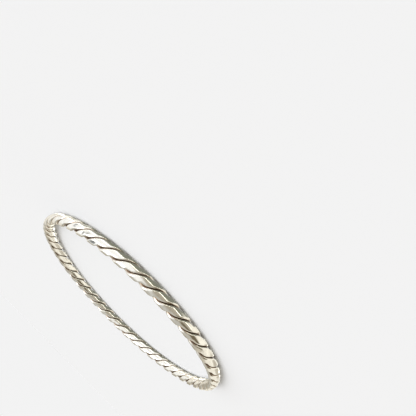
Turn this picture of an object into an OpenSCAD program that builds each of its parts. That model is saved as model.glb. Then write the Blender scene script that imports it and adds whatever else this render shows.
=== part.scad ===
// A closed bangle twisted from three wires and pressed a little flat. It lies on its side: +Z runs along the
// ring's axis, and the origin is the middle of the ring on the surface that it rests on.

/* [Ring] */
// Diameter of the opening between the band's inner faces
opening_d = 65; // [55:0.5:75]
// Full turns that the twist makes on its way round the ring
turns = 16; // [12:1:18]

/* [Band] */
// Width of the twisted band along the ring's axis
band_width = 3.4; // [3:0.05:4]
// Thickness of the band from its inner to its outer face
band_thickness = 2.9; // [2.3:0.05:3]

/* [Wires] */
// Clearance kept between neighbouring wires
wire_gap = 0.08; // [0.05:0.01:0.15]
// Radius of a wire's edges where it passes the inner or the outer face of the band
face_edge_radius = 0.5; // [0.4:0.01:0.65]

/* [Hidden] */
NODES = ["strand_1", "strand_2", "strand_3"];
wire_color = [0.86, 0.85, 0.83];
wire_count = len(NODES);
ring_r = (opening_d + band_thickness) / 2;
// Before the band is pressed flat, its outline is a circle of this radius
twist_r = band_width / 2;
flattening = band_thickness / band_width;
// A wire's section is a sector of that circle, less half the clearance, with rounded edges
half_sector = 180 / wire_count;
// At the top and the bottom of the band the edges keep the largest radius that the sector has room for
side_edge_radius = (twist_r * sin(half_sector) - wire_gap / 2) / (sin(half_sector) + 1);
section_sides = 12;
sections_per_turn = 12;
section_count = turns * sections_per_turn;

function direction(angle) = [cos(angle), sin(angle)];

// Radius of the two edges beside the groove that lies in this direction from the band's centre line, where 0
// is the outer face and 180 the inner one
function edge_radius(angle) =
    face_edge_radius + (side_edge_radius - face_edge_radius) * pow(sin(angle), 4);

// Centre of the rounding behind the surface point whose normal has this angle, from -180 to 180: on the outer
// arc and its two edges, or else at the sector's inner tip
function rounding_centre(normal, radius) =
    let (inset = wire_gap / 2 + radius)
    let (edge_angle = half_sector - asin(inset / (twist_r - radius)))
    abs(normal) <= half_sector + 90
    ? (twist_r - radius) * direction(max(-edge_angle, min(edge_angle, normal)))
    : [inset / sin(half_sector), 0];

// Surface point of a wire's section that has this normal, before the twist turns it
function section_point(normal, twist) =
    let (radius = edge_radius(twist + sign(normal) * half_sector))
    rounding_centre(normal, radius) + radius * direction(normal);

// Turns a section point about the band's centre line, to its outward and upward distances from that line
function twisted(point, twist) =
    [point[0] * cos(twist) - point[1] * sin(twist), point[0] * sin(twist) + point[1] * cos(twist)];

// Sets a point of the twisted band into the ring, at this angle about the ring's axis
function in_ring(point, ring_angle) =
    let (reach = ring_r + flattening * point[0])
    [reach * cos(ring_angle), reach * sin(ring_angle), twist_r + point[1]];

// One wire: a closed loop of sections, each joined to the next by two triangles a side
module strand(number) {
    points = [
        for (section = [0 : section_count - 1])
        for (side = [0 : section_sides - 1])
        let (ring_angle = section * 360 / section_count)
        let (twist = ring_angle * turns + number * 2 * half_sector)
        let (normal = side * 360 / section_sides - 180)
        in_ring(twisted(section_point(normal, twist), twist), ring_angle)
    ];
    faces = [
        for (section = [0 : section_count - 1])
        for (side = [0 : section_sides - 1])
        let (here = section * section_sides)
        let (ahead = (section + 1) % section_count * section_sides)
        let (next = (side + 1) % section_sides)
        for (face = [[here + side, here + next, ahead + next], [here + side, ahead + next, ahead + side]])
        face
    ];
    color(wire_color)
    polyhedron(points, faces);
}

module strand_1() {
    strand(0);
}

module strand_2() {
    strand(1);
}

module strand_3() {
    strand(2);
}

strand_1();
strand_2();
strand_3();
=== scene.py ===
"""Looks for a closed silver bangle twisted from three wires, which lies on its side on a pale floor.

Lengths are in metres and angles in degrees unless a name says otherwise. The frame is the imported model's: +Z
runs along the ring's axis, and the origin is the middle of the ring on the floor.
"""

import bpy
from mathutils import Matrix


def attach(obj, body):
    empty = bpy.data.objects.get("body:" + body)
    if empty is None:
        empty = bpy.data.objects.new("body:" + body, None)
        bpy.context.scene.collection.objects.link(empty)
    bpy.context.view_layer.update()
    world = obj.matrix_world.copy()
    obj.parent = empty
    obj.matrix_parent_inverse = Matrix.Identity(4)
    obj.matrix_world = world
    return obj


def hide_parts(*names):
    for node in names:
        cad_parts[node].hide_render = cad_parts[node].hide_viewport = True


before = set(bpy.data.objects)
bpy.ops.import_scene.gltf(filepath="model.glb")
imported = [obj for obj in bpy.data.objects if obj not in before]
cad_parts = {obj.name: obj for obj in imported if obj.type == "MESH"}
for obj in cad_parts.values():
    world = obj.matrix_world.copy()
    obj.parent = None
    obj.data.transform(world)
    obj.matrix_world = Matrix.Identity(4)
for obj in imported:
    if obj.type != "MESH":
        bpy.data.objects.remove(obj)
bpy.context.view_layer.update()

import math

import bpy
import numpy as np
from mathutils import Matrix, Vector

MM = 0.001

# The ring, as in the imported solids
OPENING_D = 65 * MM
TURNS = 16
BAND_WIDTH = 3.4 * MM
BAND_THICKNESS = 2.9 * MM
WIRES = 3
RING_R = (OPENING_D + BAND_THICKNESS) / 2
TWIST_R = BAND_WIDTH / 2
FLATTENING = BAND_THICKNESS / BAND_WIDTH
HALF_SECTOR = 180 / WIRES
SECTOR_SINE = math.sin(math.radians(HALF_SECTOR))

# A wire's section, with its edges rounded as in the solids but less clearance between the wires
WIRE_GAP = 0.02 * MM
FACE_EDGE_RADIUS = 0.5 * MM
ROUNDING_POWER = 4
TIP_RADIUS = 0.35 * MM
# Share of the largest rounding that the section has room for
ROUNDING_SHARE = 0.999
SIDE_EDGE_RADIUS = (TWIST_R * SECTOR_SINE - WIRE_GAP / 2) / (SECTOR_SINE + 1) * ROUNDING_SHARE

# Mesh of a wire: sections along it, a section's points on the outer arc and on each edge, and the normals at
# its inner tip
SECTIONS = 1440
ARC_POINTS = 12
EDGE_POINTS = 19
TIP_NORMALS = (165, 180, 195)
# Distance between the wires in the space of the draw lines and scratches, so that no two have the same
FLOW_SPACING = 0.05

# Hand work: how far the twist and the wires' size wander, in which waves round the ring and from which seed,
# and the least strength of a wave
TWIST_WANDER = 1.2
TWIST_WAVES = (3, 5, 8, 13)
TWIST_SEED = 7
SIZE_WANDER = 0.006
SIZE_WAVES = (2, 5, 9, 14)
SIZE_SEED = 31
WEAKEST_WAVE = 0.4

# Dents that the photograph shows: ring angle, direction from the band's centre line, half length, half
# width, lean from the band's run, depth and the strength of the painted shade put into the dent
DENTS = (
    (308.9, 9, 0.62 * MM, 0.20 * MM, 22, 0.08 * MM, 0.9),
    (309.2, 26, 0.50 * MM, 0.20 * MM, 5, 0.08 * MM, 0.8),
    (303.1, 33, 0.50 * MM, 0.24 * MM, 15, 0.07 * MM, 1.0),
    (303.4, 46, 0.45 * MM, 0.24 * MM, 0, 0.07 * MM, 0.9),
    (301.0, 20, 0.80 * MM, 0.24 * MM, 28, 0.05 * MM, 0.7),
    (296.5, 55, 1.50 * MM, 0.45 * MM, 18, 0.15 * MM, 1.2),
)
# Small chance dings, which get no painted shade: from least to greatest, their half length, half width as a
# share of it, and depth
DINGS = 70
DING_SEED = 11
DING_HALF_LENGTH_MM = (0.3, 0.9)
DING_WIDTH_SHARE = (0.4, 0.8)
DING_DEPTH_MM = (0.008, 0.03)
# Power of a dent's falloff, and half lengths from its middle where nothing is left of it
DENT_FALLOFF = 3
DENT_REACH = 3

# Colours: silver polished, hazy, at the rim of the tarnish and tarnished, and the painted shade in a dent
POLISHED = (0.95, 0.925, 0.86)
HAZY = (0.84, 0.81, 0.74)
RIM = (0.56, 0.46, 0.34)
TARNISHED = (0.25, 0.165, 0.115)
# The dents' grey is painted shade laid over the silver, not a colour the metal has
PAINTED_DENT_SHADE = (0.15, 0.155, 0.15)
# Share of the rim's colour at its strongest, and of the dents' painted shade where its strength is 1
RIM_SHARE = 0.6
DENT_SHADE_SHARE = 0.85
# Shares of the way down a groove between which rim and tarnish set in, and how far the clouds shift them
RIM_DEPTHS = (0.35, 0.6)
TARNISH_DEPTHS = (0.50, 0.68)
CLOUD_SHIFT = 0.3
# Noise of the clouds, the haze and the ripple: scale in each metre, detail and roughness
CLOUDS = (420, 4, 0.6)
HAZE = (900, 3, 0.6)
RIPPLE = (700, 2, 0.4)
NOISE_MIDDLE = 0.5
# Values of its noise between which the haze sets in, and those of the clouds that dull the gloss
HAZE_RANGE = (0.35, 0.75)
GLOSS_RANGE = (0.3, 0.7)
# Roughness of bright and of cloudy silver, and what full tarnish adds to it
ROUGHNESS = (0.07, 0.15)
TARNISH_ROUGHNESS = 0.35
# Draw lines and scratches: noise as above, its scales along and around the wire and from wire to wire, and
# their height beside the ripple's
DRAW_LINES = (1, 2, 0.5)
DRAW_LINE_SCALES = (900, 26000, 1)
DRAW_LINE_HEIGHT = 0.25
SCRATCHES = (1, 3, 0.7)
SCRATCH_SCALES = (5200, 1300, 1)
SCRATCH_HEIGHT = 0.2
BUMP_STRENGTH = 0.5
BUMP_HEIGHT = 0.016 * MM

# Photograph's camera, fitted to the band's outline and notches: its place from the ring's middle at half the
# band's width, and where right, down and forward in its picture point
CAMERA_PLACE_MM = (-0.58654229, -109.57918581, 21.35134507)
CAMERA_RIGHT = (-0.7155374, -0.3450422, -0.60741427)
CAMERA_DOWN = (-0.69773425, 0.39562755, 0.59719826)
CAMERA_FORWARD = (0.03425122, 0.85113143, -0.52383407)
FOCAL_PX = 338.584
PICTURE_PX = 416
SENSOR_MM = 36
CLIP_START = 1 * MM

# Light of the studio by the height of its direction, from -1 straight down to 1 straight up
STUDIO_LEVELS = (
    (-1.00, (0.040, 0.041, 0.036)),
    (-0.45, (0.038, 0.039, 0.029)),
    (-0.39, (0.100, 0.100, 0.080)),
    (-0.365, (0.60, 0.59, 0.54)),
    (-0.335, (0.60, 0.59, 0.54)),
    (-0.30, (0.120, 0.115, 0.100)),
    (-0.22, (0.078, 0.072, 0.060)),
    (0.50, (0.072, 0.066, 0.055)),
    (1.00, (0.100, 0.100, 0.096)),
)
# Patches on it: blending, direction, cosines where the patch begins and is full, and colour
STUDIO_PATCHES = (
    ("LIGHTEN", (0.84, -0.30, 0.42), 0.36, 0.60, (0.172, 0.174, 0.175)),
    ("LIGHTEN", (0.0, 1.0, 0.0), 0.30, 0.70, (0.045, 0.046, 0.046)),
    ("LIGHTEN", (0.68, 0.70, 0.15), 0.80, 0.97, (0.150, 0.145, 0.132)),
    ("LIGHTEN", (0.70, 0.55, -0.40), 0.87, 0.95, (0.125, 0.123, 0.113)),
    ("MIX", (-0.88, 0.05, -0.47), 0.76, 0.90, (0.176, 0.171, 0.155)),
    ("LIGHTEN", (-0.85, 0.50, -0.20), 0.62, 0.74, (0.160, 0.155, 0.140)),
    ("MIX", (-0.82, 0.48, -0.33), 0.93, 0.985, (0.095, 0.088, 0.075)),
    ("LIGHTEN", (-0.80, 0.45, 0.30), 0.75, 0.95, (0.105, 0.098, 0.082)),
    ("MIX", (-0.85, -0.40, 0.33), 0.925, 0.97, (0.028, 0.023, 0.015)),
)
STUDIO_STRENGTH = 6
BACKDROP = (0.8935, 0.8935, 0.8935)

# Sun for soft shadows: where it stands from the ring, how strong it is and how wide it looks
KEY_LIGHT_TOWARDS = (0.55, -0.23, 0.80)
KEY_LIGHT_STRENGTH = 1.0
KEY_LIGHT_WIDTH = 40

# A floor far wider than any view of it, and the angle between its corners
FLOOR_RADIUS = 30
FLOOR_STEP = 4
# The floor's own colour, which looks the same as the backdrop in the warm studio light
FLOOR_COLOUR = (0.895, 0.902, 0.929)


def directions(angles):
    """Unit vectors at these angles, as rows."""
    radians = np.radians(angles)
    return np.stack([np.cos(radians), np.sin(radians)], -1)


def signed(angles):
    """The same angles as numbers from -180 to 180."""
    return (angles + 180) % 360 - 180


def waves(ring_angle, harmonics, seed):
    """A slow, closed wobble along the ring, which stays between -1 and 1."""
    draw = np.random.default_rng(seed)
    total = np.zeros_like(ring_angle)
    for harmonic in harmonics:
        strength = draw.uniform(WEAKEST_WAVE, 1)
        phase = draw.uniform(0, 2 * math.pi)
        total += strength * np.sin(np.radians(harmonic * ring_angle) + phase)
    return total / np.abs(total).max()


def edge_rounding(twist, side):
    """Radius of a wire's edge on one side, 1 or -1, and its centre's angle from the wire's middle."""
    facing = np.sin(np.radians(twist + side * HALF_SECTOR)) ** ROUNDING_POWER
    radius = FACE_EDGE_RADIUS + (SIDE_EDGE_RADIUS - FACE_EDGE_RADIUS) * facing
    return radius, HALF_SECTOR - np.degrees(np.arcsin((WIRE_GAP / 2 + radius) / (TWIST_R - radius)))


def untwisted_sections(twist):
    """The points of a wire's sections before the twist turns them, as sections by sides by 2, and how far
    down the grooves each side lies, from 0 on the outside to 1 at the bottom."""
    shares = np.linspace(0, 1, EDGE_POINTS)[1:]
    corners, edges = {}, {}
    for side in (1, -1):
        radius, corner = edge_rounding(twist, side)
        centre = (TWIST_R - radius)[:, None] * directions(side * corner)
        normals = [corner + share * (HALF_SECTOR + 90 - corner) for share in shares]
        edges[side] = [centre + radius[:, None] * directions(side * normal) for normal in normals]
        corners[side] = corner
    arc = [
        TWIST_R * directions(corners[1] * share - corners[-1] * (1 - share))
        for share in np.linspace(0, 1, ARC_POINTS)
    ]
    tip_centre = np.array([(WIRE_GAP / 2 + TIP_RADIUS) / SECTOR_SINE, 0])
    tip = [
        np.tile(tip_centre + TIP_RADIUS * directions(normal), (SECTIONS, 1))
        for normal in (HALF_SECTOR + 90, *TIP_NORMALS, -HALF_SECTOR - 90)
    ]
    depths = [0] * ARC_POINTS + list(shares) + [1] * len(tip) + list(shares[::-1])
    return np.stack(arc + edges[1] + tip + edges[-1][::-1], 1), np.array(depths)


def wire_sections(number):
    """One wire's ring angles, its sections' points, and how far down the grooves each side lies. A point is
    its outward and upward distances from the band's centre line, before the band is pressed flat."""
    ring_angle = np.arange(SECTIONS) * 360 / SECTIONS
    wander = TWIST_WANDER * waves(ring_angle, TWIST_WAVES, TWIST_SEED)
    twist = ring_angle * TURNS + number * 2 * HALF_SECTOR + wander
    sections, depths = untwisted_sections(twist)
    turn = np.radians(twist)[:, None]
    out = sections[..., 0] * np.cos(turn) - sections[..., 1] * np.sin(turn)
    up = sections[..., 0] * np.sin(turn) + sections[..., 1] * np.cos(turn)
    size = 1 - SIZE_WANDER * (1 + waves(ring_angle, SIZE_WAVES, SIZE_SEED + number))[:, None]
    return ring_angle, np.stack([out * size, up * size], -1), depths


def all_dents():
    """The dents that the photograph shows, and the chance dings."""
    draw = np.random.default_rng(DING_SEED)
    dents = list(DENTS)
    for _ in range(DINGS):
        half_length = draw.uniform(*DING_HALF_LENGTH_MM) * MM
        ring = draw.uniform(0, 360)
        around = draw.uniform(-180, 180)
        half_width = half_length * draw.uniform(*DING_WIDTH_SHARE)
        lean = draw.uniform(0, 90)
        depth = draw.uniform(*DING_DEPTH_MM) * MM
        dents.append((ring, around, half_length, half_width, lean, depth, 0))
    return dents


def press_dents(ring_angle, points):
    """The points with the dents pressed into them, and how much painted shade each point gets from them."""
    direction = np.degrees(np.arctan2(points[..., 1], points[..., 0]))
    pressed = np.zeros_like(direction)
    painted_shade = np.zeros_like(direction)
    for ring, around, half_length, half_width, lean, depth, shade_strength in all_dents():
        along = np.radians(signed(ring_angle - ring)) * RING_R
        near = np.flatnonzero(np.abs(along) < DENT_REACH * half_length)
        along = along[near][:, None]
        across = np.radians(signed(direction[near] - around)) * TWIST_R
        cosine, sine = directions(lean)
        run = (along * cosine + across * sine) / half_length
        rise = (across * cosine - along * sine) / half_width
        share = np.exp(-np.hypot(run, rise) ** DENT_FALLOFF)
        pressed[near] = np.maximum(pressed[near], share * depth)
        # Painted shade: how strongly this dent greys the silver
        painted_shade[near] = np.maximum(painted_shade[near], share * shade_strength)
    outside = np.linalg.norm(points, axis=-1)
    return points * (1 - pressed / outside)[..., None], painted_shade


def build_wire(number):
    """The mesh object of one wire. Its attributes say how far down the grooves a point lies, how much painted
    shade the dents give it, and how far it lies along and around the wire."""
    ring_angle, points, depths = wire_sections(number)
    points, painted_shade = press_dents(ring_angle, points)
    sides = points.shape[1]
    reach = RING_R + FLATTENING * points[..., 0]
    turn = np.radians(ring_angle)[:, None]
    places = np.stack([reach * np.cos(turn), reach * np.sin(turn), TWIST_R + points[..., 1]], -1)
    section, side = np.meshgrid(np.arange(SECTIONS), np.arange(sides), indexing="ij")
    here, ahead = section * sides, (section + 1) % SECTIONS * sides
    beside = (side + 1) % sides
    quads = np.stack([here + side, ahead + side, ahead + beside, here + beside], -1)
    mesh = bpy.data.meshes.new(f"wire_{number + 1}")
    mesh.from_pydata(places.reshape(-1, 3).tolist(), [], quads.reshape(-1, 4).tolist())
    mesh.polygons.foreach_set("use_smooth", np.ones(len(mesh.polygons), bool))
    steps = np.linalg.norm(np.diff(points, axis=1), axis=2)
    around = np.concatenate([np.zeros((SECTIONS, 1)), np.cumsum(steps, 1)], 1)
    along = np.repeat(turn * RING_R, sides, 1)
    flow = np.stack([along, around, np.full_like(along, number * FLOW_SPACING)], -1)
    for name, kind, field, values in (
        ("groove", "FLOAT", "value", np.tile(depths, SECTIONS)),
        ("dent", "FLOAT", "value", painted_shade),
        ("flow", "FLOAT_VECTOR", "vector", flow),
    ):
        attribute = mesh.attributes.new(name, kind, "POINT")
        attribute.data.foreach_set(field, values.astype(np.float32).ravel())
    wire = bpy.data.objects.new(mesh.name, mesh)
    bpy.context.scene.collection.objects.link(wire)
    return wire


def node(tree, kind, **properties):
    """A new node of this kind with these properties."""
    made = tree.nodes.new(kind)
    for key, value in properties.items():
        setattr(made, key, value)
    return made


def feed(tree, socket, value):
    """Sets an input to a number or a colour, or links it to an output."""
    if isinstance(value, (int, float)):
        socket.default_value = value
    elif isinstance(value, tuple):
        socket.default_value = (*value, 1)
    else:
        tree.links.new(value, socket)


def ranged(tree, value, low, high, to_low=0, to_high=1):
    """The value's place between low and high, eased, as a number between to_low and to_high."""
    made = node(tree, "ShaderNodeMapRange", interpolation_type="SMOOTHSTEP")
    names = ("Value", "From Min", "From Max", "To Min", "To Max")
    for name, number in zip(names, (value, low, high, to_low, to_high)):
        feed(tree, made.inputs[name], number)
    return made.outputs["Result"]


def mixed(tree, factor, first, second, blending="MIX"):
    """Two colours blended by this factor."""
    made = node(tree, "ShaderNodeMix", data_type="RGBA", blend_type=blending)
    feed(tree, made.inputs["Factor"], factor)
    sockets = [socket for socket in made.inputs if socket.type == "RGBA"]
    feed(tree, sockets[0], first)
    feed(tree, sockets[1], second)
    return next(socket for socket in made.outputs if socket.type == "RGBA")


def combined(tree, operation, first, second):
    """The result of this operation on two numbers."""
    made = node(tree, "ShaderNodeMath", operation=operation)
    feed(tree, made.inputs[0], first)
    feed(tree, made.inputs[1], second)
    return made.outputs[0]


def attribute_output(tree, name, output):
    """An output of the mesh attribute with this name."""
    return node(tree, "ShaderNodeAttribute", attribute_name=name).outputs[output]


def noise(tree, vector, settings, factors=(1, 1, 1)):
    """Noise of this scale, detail and roughness, over the vector times these factors."""
    scaled = node(tree, "ShaderNodeVectorMath", operation="MULTIPLY")
    feed(tree, scaled.inputs[0], vector)
    scaled.inputs[1].default_value = factors
    made = node(tree, "ShaderNodeTexNoise")
    feed(tree, made.inputs["Vector"], scaled.outputs[0])
    for name, value in zip(("Scale", "Detail", "Roughness"), settings):
        feed(tree, made.inputs[name], value)
    return made.outputs["Fac"]


def silver_bump(tree, place):
    """Normals of a surface with ripple, draw lines and fine scratches."""
    flow = attribute_output(tree, "flow", "Vector")
    draw_lines = noise(tree, flow, DRAW_LINES, DRAW_LINE_SCALES)
    scratches = noise(tree, flow, SCRATCHES, SCRATCH_SCALES)
    marks = combined(
        tree,
        "ADD",
        combined(tree, "MULTIPLY", draw_lines, DRAW_LINE_HEIGHT),
        combined(tree, "MULTIPLY", scratches, SCRATCH_HEIGHT),
    )
    bump = node(tree, "ShaderNodeBump")
    feed(tree, bump.inputs["Strength"], BUMP_STRENGTH)
    feed(tree, bump.inputs["Distance"], BUMP_HEIGHT)
    feed(tree, bump.inputs["Height"], combined(tree, "ADD", marks, noise(tree, place, RIPPLE)))
    return bump.outputs["Normal"]


def silver_material():
    """Worn, polished silver with brown tarnish down in the grooves and painted shade in the dents."""
    material = bpy.data.materials.new("worn_silver")
    material.use_nodes = True
    tree = material.node_tree
    surface = tree.nodes["Principled BSDF"]
    place = node(tree, "ShaderNodeTexCoord").outputs["Object"]
    cloud = noise(tree, place, CLOUDS)
    shift = combined(tree, "MULTIPLY", combined(tree, "SUBTRACT", cloud, NOISE_MIDDLE), CLOUD_SHIFT)
    depth = combined(tree, "ADD", attribute_output(tree, "groove", "Fac"), shift)
    tarnish = ranged(tree, depth, *TARNISH_DEPTHS)
    haze = ranged(tree, noise(tree, place, HAZE), *HAZE_RANGE)
    rim = ranged(tree, depth, *RIM_DEPTHS, 0, RIM_SHARE)
    # Painted shade in the dents: a grey laid over the silver
    dent = combined(tree, "MULTIPLY", attribute_output(tree, "dent", "Fac"), DENT_SHADE_SHARE)
    colour = mixed(tree, haze, POLISHED, HAZY)
    for share, layer in ((rim, RIM), (dent, PAINTED_DENT_SHADE), (tarnish, TARNISHED)):
        colour = mixed(tree, share, colour, layer)
    gloss = ranged(tree, cloud, *GLOSS_RANGE, *ROUGHNESS)
    dulling = combined(tree, "MULTIPLY", tarnish, TARNISH_ROUGHNESS)
    feed(tree, surface.inputs["Metallic"], 1)
    feed(tree, surface.inputs["Base Color"], colour)
    feed(tree, surface.inputs["Roughness"], combined(tree, "ADD", gloss, dulling))
    feed(tree, surface.inputs["Normal"], silver_bump(tree, place))
    return material


def floor_material():
    """A pale colour, quite matt."""
    material = bpy.data.materials.new("pale_floor")
    material.use_nodes = True
    tree = material.node_tree
    surface = tree.nodes["Principled BSDF"]
    feed(tree, surface.inputs["Base Color"], FLOOR_COLOUR)
    feed(tree, surface.inputs["Roughness"], 1)
    feed(tree, surface.inputs["Specular IOR Level"], 0)
    return material


def lay_floor():
    """A wide floor. The metal reflects the low part of the studio in its place."""
    corners = directions(np.arange(0, 360, FLOOR_STEP))
    rim = [(FLOOR_RADIUS * x, FLOOR_RADIUS * y, 0) for x, y in corners]
    mesh = bpy.data.meshes.new("floor")
    mesh.from_pydata(rim, [], [tuple(range(len(rim)))])
    mesh.materials.append(floor_material())
    floor = bpy.data.objects.new("floor", mesh)
    bpy.context.scene.collection.objects.link(floor)
    floor.visible_glossy = False


def studio_light(tree):
    """Colour of the studio's light from each direction: its levels with the patches on them."""
    direction = node(tree, "ShaderNodeTexCoord").outputs["Generated"]

    def along(vector):
        """How far each direction points along this vector, from -1 to 1."""
        made = node(tree, "ShaderNodeVectorMath", operation="DOT_PRODUCT")
        feed(tree, made.inputs[0], direction)
        made.inputs[1].default_value = Vector(vector).normalized()
        return made.outputs["Value"]

    height = node(tree, "ShaderNodeMapRange")
    feed(tree, height.inputs["Value"], along((0, 0, 1)))
    feed(tree, height.inputs["From Min"], -1)
    ramp = node(tree, "ShaderNodeValToRGB")
    feed(tree, ramp.inputs["Fac"], height.outputs["Result"])
    elements = ramp.color_ramp.elements
    for level, _ in STUDIO_LEVELS[1:-1]:
        elements.new((level + 1) / 2)
    for element, (level, colour) in zip(elements, STUDIO_LEVELS):
        element.position = (level + 1) / 2
        element.color = (*colour, 1)
    light = ramp.outputs["Color"]
    for blending, towards, low, high, colour in STUDIO_PATCHES:
        light = mixed(tree, ranged(tree, along(towards), low, high), light, colour, blending)
    return light


def light_studio():
    """A studio of soft light with a bright strip low down. The camera sees a plain backdrop in its place."""
    world = bpy.data.worlds.new("studio")
    bpy.context.scene.world = world
    world.use_nodes = True
    tree = world.node_tree
    tree.nodes.clear()
    studio = node(tree, "ShaderNodeBackground")
    feed(tree, studio.inputs["Color"], studio_light(tree))
    feed(tree, studio.inputs["Strength"], STUDIO_STRENGTH)
    backdrop = node(tree, "ShaderNodeBackground")
    feed(tree, backdrop.inputs["Color"], BACKDROP)
    seen = node(tree, "ShaderNodeMixShader")
    feed(tree, seen.inputs["Fac"], node(tree, "ShaderNodeLightPath").outputs["Is Camera Ray"])
    feed(tree, seen.inputs[1], studio.outputs[0])
    feed(tree, seen.inputs[2], backdrop.outputs[0])
    feed(tree, node(tree, "ShaderNodeOutputWorld").inputs["Surface"], seen.outputs[0])


def add_key_light():
    """A distant, soft sun."""
    lamp = bpy.data.lights.new("key_light", "SUN")
    lamp.energy = KEY_LIGHT_STRENGTH
    lamp.angle = math.radians(KEY_LIGHT_WIDTH)
    sun = bpy.data.objects.new("key_light", lamp)
    bpy.context.scene.collection.objects.link(sun)
    towards = Vector(KEY_LIGHT_TOWARDS)
    sun.rotation_mode = "QUATERNION"
    sun.rotation_quaternion = towards.to_track_quat("Z", "Y")
    sun.location = towards.normalized()


def place_camera():
    """The photograph's camera, which stands above the floor."""
    lens = bpy.data.cameras.new("photo_camera")
    camera = bpy.data.objects.new("photo_camera", lens)
    bpy.context.scene.collection.objects.link(camera)
    right, down, forward = (Vector(row) for row in (CAMERA_RIGHT, CAMERA_DOWN, CAMERA_FORWARD))
    stand = Matrix((right, -down, -forward)).transposed().to_4x4()
    stand.translation = Vector(CAMERA_PLACE_MM) * MM + Vector((0, 0, TWIST_R))
    camera.matrix_world = stand
    lens.sensor_width = SENSOR_MM
    lens.lens = FOCAL_PX / PICTURE_PX * SENSOR_MM
    lens.clip_start = CLIP_START
    bpy.context.scene.camera = camera


silver = silver_material()
for number in range(WIRES):
    wire = build_wire(number)
    wire.data.materials.append(silver)
    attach(wire, "root")
    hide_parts(f"strand_{number + 1}")
lay_floor()
light_studio()
add_key_light()
place_camera()
bpy.context.scene.view_settings.view_transform = "Standard"
